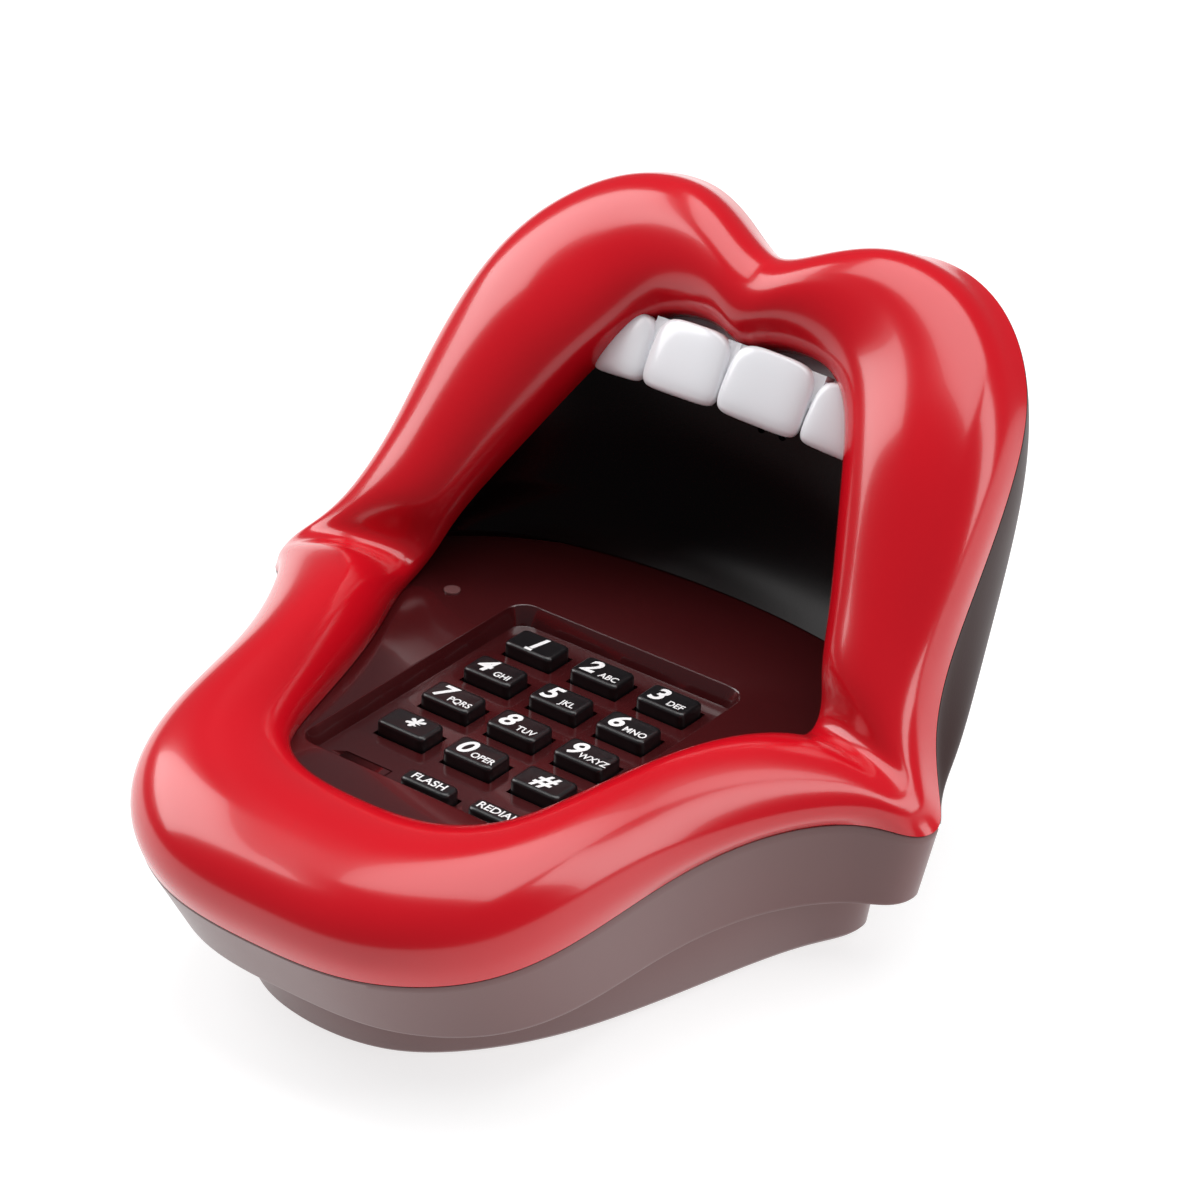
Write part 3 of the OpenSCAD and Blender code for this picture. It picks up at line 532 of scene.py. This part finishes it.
def add_bottom_shell():
    edge = 0.7
    sides = (-1, 1)
    rings = [
        pull_in(foot_ring(0.98, PAD_T, 0), 0.6),
        foot_ring(0.98, PAD_T + 0.25, 0), foot_ring(0.99, PAD_T + 0.9, 0), foot_ring(1, PAD_T + 1.8, 0),
        foot_ring(1.027, STEP_Z - 1, 0), foot_ring(1.03, STEP_Z, 0),
        pull_in(casing_ring(1, 0), edge), pull_in(casing_ring(0.995, 0), edge * 0.3),
    ]
    rings += [casing_ring(f, 0) for f in (0.98, 0.95, 0.9, 0.8, 0.7, 0.6, 0.5, 0.4, 0.3, 0.2, 0.1, 0.02)]
    rings += [pull_in(casing_ring(0, 0), 0.25), casing_ring(0, WALL)]
    rings += [casing_ring(f, WALL) for f in (0.1, 0.35, 0.6, 0.8, 0.97)]
    rings += [foot_ring(1.03, STEP_Z - 1, WALL + 0.4), foot_ring(1, PAD_T + WALL, WALL)]
    shell = stacked("bottom_casing", rings, "brown_plastic", sharp=40)
    cutters = [cutter(*cylinder((s * x, y), HEAD_R, -1, HEAD_DEPTH)) for x, y in BASE_SCREWS for s in sides]
    cutters.append(cutter(*cylinder((0, PLUNGER_Y), PLUNGER_R + 0.3, -1, 9)))
    cutters.append(cutter(*cylinder(MIC_PLACE, 1, STEP_Z - 5, STEP_Z + 5, 24)))
    for x, y in hole_circle():
        place = (RINGER_PLACE[0] + x, RINGER_PLACE[1] + y)
        cutters.append(cutter(*cylinder(place, RINGER_HOLE_R, -1, 9, 24)))
    x, y, z = JACK_PLACE
    width, depth, height = JACK_SIZE
    socket = block((x, y + depth, z), (width + SLOT_PLAY, depth + 15, height + SLOT_PLAY))
    cutters.append(cutter(*socket))
    for x, y, z in SWITCH_PLACES:
        cutters.append(cutter(*block((x, y + 6, z), (SWITCH_TRAVEL + 5, 20, 3.4))))
    cut(shell, cutters)
    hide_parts("bottom_shell")
    floor_top = PAD_T + 1.5
    posts = [cylinder((s * x, y), BOSS_R, floor_top, BASE_BOSS_TOP) for x, y in BASE_SCREWS for s in sides]
    posts += [cylinder((s * x, y), BOARD_POST_R, floor_top, BOARD_H) for x, y in BOARD_POSTS for s in sides]
    bosses = add_shapes("bottom_casing_bosses", posts, "brown_plastic", "bottom_shell")
    cut(bosses, [cutter(*cylinder((s * x, y), HEAD_R, -1, HEAD_DEPTH)) for x, y in BASE_SCREWS for s in sides]
        + [cutter(*cylinder((s * x, y), SCREW_R, 0, BASE_BOSS_TOP + 1))
           for x, y in BASE_SCREWS for s in sides])


# how far the back shell swells from its lower edge and from the seam: sideways, back and up
SWELL_LOW, SWELL_TOP, SWELL_FALL = (22, 40, 28), (0, 8, -24), 1.3


def back_sheet(rows, columns, t):
    f = np.linspace(0, 1, rows + 1)[:, None, None]
    side = np.linspace(0, 1, columns + 1)
    seam = seam_points(mix(CORNER_ROW + 0.15, 2 * LAST_ROW - CORNER_ROW - 0.15, side), t)
    low = rear_points(mix(REAR_FROM, 1 - REAR_FROM, side), t)
    bulge = (np.sin(np.pi * side) ** SWELL_FALL)[:, None]
    sideways = np.column_stack([SWELL_LOW[0] * np.cos(np.pi * side), 0 * side, 0 * side])
    p0 = np.column_stack([low, np.full(len(low), CORNER_Z)])
    p1 = p0 + bulge * (sideways + np.array([0, SWELL_LOW[1] - t * 0.2, SWELL_LOW[2]]))
    p2 = seam + bulge * np.array([0, SWELL_TOP[1] - t * 1.1, SWELL_TOP[2] - t * 1.1])
    g = 1 - f
    return p0 * g ** 3 + p1 * 3 * g * g * f + p2 * 3 * g * f * f + seam * f ** 3


# across, run and depth of the screw tubes in the upper lip's plane
BACK_SCREWS = [[69, 48, 27], [53, 100, 20]]
BACK_HEAD_R, BACK_HEAD_SEAT = 3.2, -4


def add_back_shell():
    outer, inner = back_sheet(60, 220, 0), back_sheet(60, 220, WALL)
    # the back shell takes the darkened brown, a copy of the brown plastic with painted shade
    shell = thick_sheet("back_casing", outer, inner, "dark_brown_plastic", 40)
    cutters = []
    for x, run, _ in BACK_SCREWS:
        for side in (-1, 1):
            points, faces = cylinder((side * x, run), BACK_HEAD_R, -60, BACK_HEAD_SEAT)
            cutters.append(cutter(upper_lip_to_frame(points), faces))
    cut(shell, cutters)
    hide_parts("back_shell")
    tubes, outside = [], cutter(*between_sheets(back_sheet(20, 60, -8), back_sheet(20, 60, 0.4)))
    bores = []
    for x, run, depth in BACK_SCREWS:
        for side in (-1, 1):
            points, faces = cylinder((side * x, run), TUBE_R, -depth, -0.2)
            tubes.append((upper_lip_to_frame(points), faces))
            for radius, low, high in ((BACK_HEAD_R, -60, BACK_HEAD_SEAT), (SCREW_R, -10, 2)):
                points, faces = cylinder((side * x, run), radius, low, high)
                bores.append(cutter(upper_lip_to_frame(points), faces))
    cut(add_shapes("back_casing_tubes", tubes, "dark_brown_plastic", "back_shell"), [outside] + bores)


add_bottom_shell()
add_back_shell()


# ------------------------------------------------------------------ keypad

PITCH_X, PITCH_Y, FUNCTION_ROW_Y = 19.0, 15.5, -47.7
KEY_W, KEY_D, FUNCTION_KEY_D = 13.4, 8.4, 5.0
TRAY_H, TRAY_T, PLATE_H, PLATE_T = -3.5, 2.2, 1.5, 2.2
TRAY_X, TRAY_BACK, TRAY_FRONT = 33.0, 27.0, -54.0
TRAY_MIDDLE = (TRAY_BACK + TRAY_FRONT) / 2
FLANGE_H, FLANGE_T = TRAY_H - TRAY_T - 0.3, 1.2
LED_PLACE, LED_R = (-48, 20), 2.0
KEY_PLAY, GROOVE = 0.4, 0.4
PLATE_REAR_W, PLATE_REAR_Y, PLATE_REAR_DEPTH, TUCK = 76.0, 16.0, 48.0, 2.2
KEYS = {
    "key_1": (-1, 1, "1", ""), "key_2": (0, 1, "2", "ABC"), "key_3": (1, 1, "3", "DEF"),
    "key_4": (-1, 0, "4", "GHI"), "key_5": (0, 0, "5", "JKL"), "key_6": (1, 0, "6", "MNO"),
    "key_7": (-1, -1, "7", "PQRS"), "key_8": (0, -1, "8", "TUV"), "key_9": (1, -1, "9", "WXYZ"),
    "key_star": (-1, -2, "*", ""), "key_0": (0, -2, "0", "OPER"), "key_hash": (1, -2, "#", ""),
    "key_flash": (0, None, "", "FLASH"), "key_redial": (1, None, "", "REDIAL"),
}


def rounded_outline(width, depth, radius, count=128, centre=(0, 0)):
    """Points round a rectangle with round corners, spaced by angle seen from its middle."""
    a = (np.arange(count) + 0.5) * 2 * math.pi / count
    c, s = np.cos(a), np.sin(a)
    x, y = width / 2, depth / 2
    flat = np.minimum(x / np.maximum(abs(c), 1e-9), y / np.maximum(abs(s), 1e-9))
    px, py = flat * abs(c), flat * abs(s)
    cx, cy = x - radius, y - radius
    corner = (px > cx) & (py > cy)
    b = cx * abs(c) + cy * abs(s)
    r = b + np.sqrt(np.maximum(b * b - (cx * cx + cy * cy - radius ** 2), 0))
    r = np.where(corner, r, flat)
    return np.stack([r * c + centre[0], r * s + centre[1]], 1)


def plate_outline(count, centre):
    """Outline of the keypad plate, spaced by angle seen from the tray's middle."""
    rows = lip_rows(np.linspace(-8.4, 8.4, 400) + len(LIP_LOOP), TUCK)
    front = np.column_stack([rows[:, 4], CORNER_Y + rows[:, 5]])
    x = np.linspace(-1, 1, 400)
    rear = np.column_stack([-PLATE_REAR_W * x, PLATE_REAR_Y + PLATE_REAR_DEPTH * np.sqrt(1 - x ** 2)])
    rear = rear[rear[:, 1] > 26]
    loop = np.vstack([front, rear]) - centre
    angle, radius = np.arctan2(loop[:, 1], loop[:, 0]), np.hypot(loop[:, 0], loop[:, 1])
    want = (np.arange(count) + 0.5) * 2 * math.pi / count
    want = np.where(want > np.pi, want - 2 * np.pi, want)
    order = np.argsort(angle)
    r = np.interp(want, angle[order], radius[order], period=2 * np.pi)
    return np.stack([r * np.cos(want), r * np.sin(want)], 1) + centre


def level(outline, h):
    return np.column_stack([outline, np.full(len(outline), h)])


def add_plate():
    count, centre = 256, np.array([0, TRAY_MIDDLE])
    depth = TRAY_BACK - TRAY_FRONT
    rim = plate_outline(count, centre)

    def tray(grow, radius):
        return rounded_outline(2 * (TRAY_X + grow), depth + 2 * grow, radius, count, centre)

    rings = [
        level(tray(2.2, 7), PLATE_H - PLATE_T), level(rim, PLATE_H - PLATE_T), level(rim, PLATE_H),
        level(tray(0.3, 5.3), PLATE_H), level(tray(0.1, 5.1), PLATE_H - 0.06),
        level(tray(-0.1, 4.9), PLATE_H - 0.3), level(tray(-1.3, 4.1), TRAY_H + 0.3),
        level(tray(-1.4, 4), TRAY_H + 0.1), level(tray(-1.7, 3.7), TRAY_H),
    ]
    outer = [level(tray(0.7, 6), TRAY_H - TRAY_T)]
    rings = [keypad_to_frame(r) for r in outer + rings]
    plate = stacked("keypad_panel", rings, "maroon_plastic", sharp=30)
    cutters = []
    for column, row, _, _ in KEYS.values():
        y, d = (FUNCTION_ROW_Y, FUNCTION_KEY_D) if row is None else (row * PITCH_Y, KEY_D)
        points, faces = block((column * PITCH_X, y, -5), (KEY_W + 2 * KEY_PLAY, d + 2 * KEY_PLAY, 10))
        cutters.append(cutter(keypad_to_frame(points), faces))
    half_w, half_d = (KEY_W - GROOVE) / 2, (FUNCTION_KEY_D - GROOVE) / 2
    side_d = FUNCTION_KEY_D - 2 * GROOVE
    for x, y, w, d in ((0, half_d, KEY_W, GROOVE), (0, -half_d, KEY_W, GROOVE),
                       (half_w, 0, GROOVE, side_d), (-half_w, 0, GROOVE, side_d)):
        points, faces = block((-PITCH_X + x, FUNCTION_ROW_Y + y, TRAY_H), (w, d, 0.7))
        cutters.append(cutter(keypad_to_frame(points), faces))
    points, faces = cylinder(LED_PLACE, LED_R + 0.1, -4, 4)
    cutters.append(cutter(keypad_to_frame(points), faces))
    cut(plate, cutters)
    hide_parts("keypad_plate")


def add_key(name, column, row):
    y, d = (FUNCTION_ROW_Y, FUNCTION_KEY_D) if row is None else (row * PITCH_Y, KEY_D)
    place = (column * PITCH_X, y)

    def ring(grow, radius, h):
        return level(rounded_outline(KEY_W + 2 * grow, d + 2 * grow, radius, 96, place), h)

    top = [ring(0, 1.3, -1.2), ring(-0.02, 1.3, -0.8), ring(-0.12, 1.25, -0.5), ring(-0.3, 1.15, -0.24),
           ring(-0.55, 1.0, -0.08), ring(-0.85, 0.8, -0.01), ring(-1.2, 0.6, -0.02), ring(-2, 0.4, -0.08)]
    rings = [ring(1, 1, FLANGE_H - FLANGE_T), ring(1, 1, FLANGE_H), ring(0, 1.3, FLANGE_H)] + top
    key = stacked(name + "_cap", [keypad_to_frame(r) for r in rings], "key_plastic", name + "_body", sharp=45)
    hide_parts(name)
    return place


def add_print(name, body, text, size, place, slant=0.0, bold=0.0, narrow=1.0):
    """Printed characters, lying on a key's top."""
    data = bpy.data.curves.new(name, "FONT")
    data.body = text
    data.size = size * MM
    data.shear = slant
    data.offset = bold * MM
    data.extrude = 0.02 * MM
    data.align_x, data.align_y = "CENTER", "CENTER"
    data.resolution_u = 6
    holder = bpy.data.objects.new(name, data)
    bpy.context.collection.objects.link(holder)
    bpy.context.view_layer.update()
    mesh = bpy.data.meshes.new_from_object(holder.evaluated_get(bpy.context.evaluated_depsgraph_get()))
    bpy.data.objects.remove(holder)
    flat = np.array([v.co[:] for v in mesh.vertices]) / MM
    flat[:, 0] = flat[:, 0] * narrow + place[0]
    flat[:, 1] += place[1]
    laid = keypad_to_frame(flat) + (0, KEY_Y, 0)
    for vertex, point in zip(mesh.vertices, laid * MM):
        vertex.co = point
    mesh.name = name
    print_ = bpy.data.objects.new(name, mesh)
    bpy.context.collection.objects.link(print_)
    mesh.materials.clear()
    mesh.materials.append(MATERIALS["key_print"])
    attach(print_, body)
    return print_


def add_posts():
    for name, slot, node, (x, y), top in (
            ("lip_posts", "red_plastic", "lip_ring", BASE_SCREWS[0], 46.0),
            ("panel_posts", "maroon_plastic", "keypad_plate", BASE_SCREWS[1], 40.9)):
        posts = [cylinder((s * x, y), POST_R, BASE_BOSS_TOP + 0.2, top) for s in (-1, 1)]
        bores = [cutter(*cylinder((s * x, y), PILOT_R, 22, 36)) for s in (-1, 1)]
        cut(add_shapes(name, posts, slot, node), bores)


add_plate()
add_posts()
for key_name, (key_column, key_row, big, small) in KEYS.items():
    px, py = add_key(key_name, key_column, key_row)
    if big:
        left = -3.2 if small else 0
        add_print(key_name + "_digit", key_name + "_body", big, 9.0 if big == "*" else 7.4,
                  (px + left, py + (-1.1 if big == "*" else 0)), 0.22, 0.2)
        if big == "1":
            add_print(key_name + "_foot", key_name + "_body", "-", 7.4, (px - 0.3, py - 2.5), 0, 0.1)
    if small and big:
        add_print(key_name + "_letters", key_name + "_body", small, 2.9, (px + 2.9, py - 1.6), 0, 0.05, 0.9)
    elif small:
        add_print(key_name + "_word", key_name + "_body", small, 3.3, (px, py), 0, 0.05)


# ------------------------------------------------------------------ throat

THROAT_ROWS = [
    [72, 63, 43.9], [71, 69, 47], [68, 75, 53], [64, 80, 62], [60, 84, 74], [58, 86.5, 86],
    [54, 86, 96], [44, 85, 103], [30, 84, 108],
]
THROAT_FRONT = 24.0
RECEIVER_PLACE, RECEIVER_TILT, RECEIVER_HOLE_R = (0, 86.8, 78), -8, 1.1


def throat_sheet(rows, columns, t):
    f = np.linspace(0, 1, rows + 1)
    r = open_spline(THROAT_ROWS, f)
    side = np.linspace(0, 1, columns + 1)
    c, s = np.cos(np.pi * side)[None], np.sin(np.pi * side)[None] ** 0.8
    front = np.maximum(30, r[:, 2] - THROAT_FRONT)[:, None] - t * 0.3
    y = mix(front, r[:, 1][:, None] - t, s)
    x = (r[:, 0][:, None] - t) * c
    z = r[:, 2][:, None] - math.tan(math.radians(KEYPAD_TILT)) * y * ((1 - f) ** 2)[:, None]
    return np.stack([x, y, z], -1)


def add_throat():
    bowl = thick_sheet("throat", throat_sheet(60, 120, 0), throat_sheet(60, 120, 2), "black_plastic", 45)
    cutters = []
    for x, y in [(0, 0)] + hole_circle():
        points, faces = cylinder((x, y), RECEIVER_HOLE_R, -12, 8, 24)
        points = turn(points, "X", RECEIVER_TILT - 90) + RECEIVER_PLACE
        cutters.append(cutter(points, faces))
    cut(bowl, cutters)
    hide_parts("throat_liner")


add_throat()


# ------------------------------------------------------------------ floor and light

def add_floor():
    mesh = bpy.data.meshes.new("floor")
    s = 6.0
    mesh.from_pydata([(-s, -s, 0), (s, -s, 0), (s, s, 0), (-s, s, 0)], [], [(0, 1, 2, 3)])
    floor = bpy.data.objects.new("floor", mesh)
    bpy.context.collection.objects.link(floor)
    paper = moulded("floor", (0.4, 0.4, 0.4), 0.985, 0.6, 0.05, 0.0, 0.0, 200)
    paper.node_tree.nodes["Principled BSDF"].inputs["Emission Color"].default_value = (1, 1, 1, 1)
    paper.node_tree.nodes["Principled BSDF"].inputs["Emission Strength"].default_value = 0.75
    mesh.materials.append(paper)


def add_softbox(name, place, size, power, target=(0, 0, 0.05), colour=(1, 1, 1)):
    data = bpy.data.lights.new(name, "AREA")
    data.shape = "RECTANGLE"
    data.size, data.size_y = size
    data.energy = power
    data.color = colour
    light = bpy.data.objects.new(name, data)
    light.location = place
    light.rotation_euler = (Vector(target) - Vector(place)).to_track_quat("-Z", "Y").to_euler()
    bpy.context.collection.objects.link(light)


def add_studio():
    bpy.context.scene.view_settings.view_transform = "Standard"
    world = bpy.data.worlds.new("studio")
    bpy.context.scene.world = world
    world.use_nodes = True
    world.node_tree.nodes["Background"].inputs["Color"].default_value = (0.92, 0.94, 1, 1)
    world.node_tree.nodes["Background"].inputs["Strength"].default_value = 0.14
    add_softbox("softbox_left", (-1.3, -0.2, 1.0), (1.1, 1.1), 18)
    add_softbox("softbox_right", (1.2, 0.5, 0.8), (0.5, 1.4), 9)
    add_softbox("softbox_top", (0.0, 0.3, 1.7), (1.8, 1.3), 26)


add_floor()
add_studio()
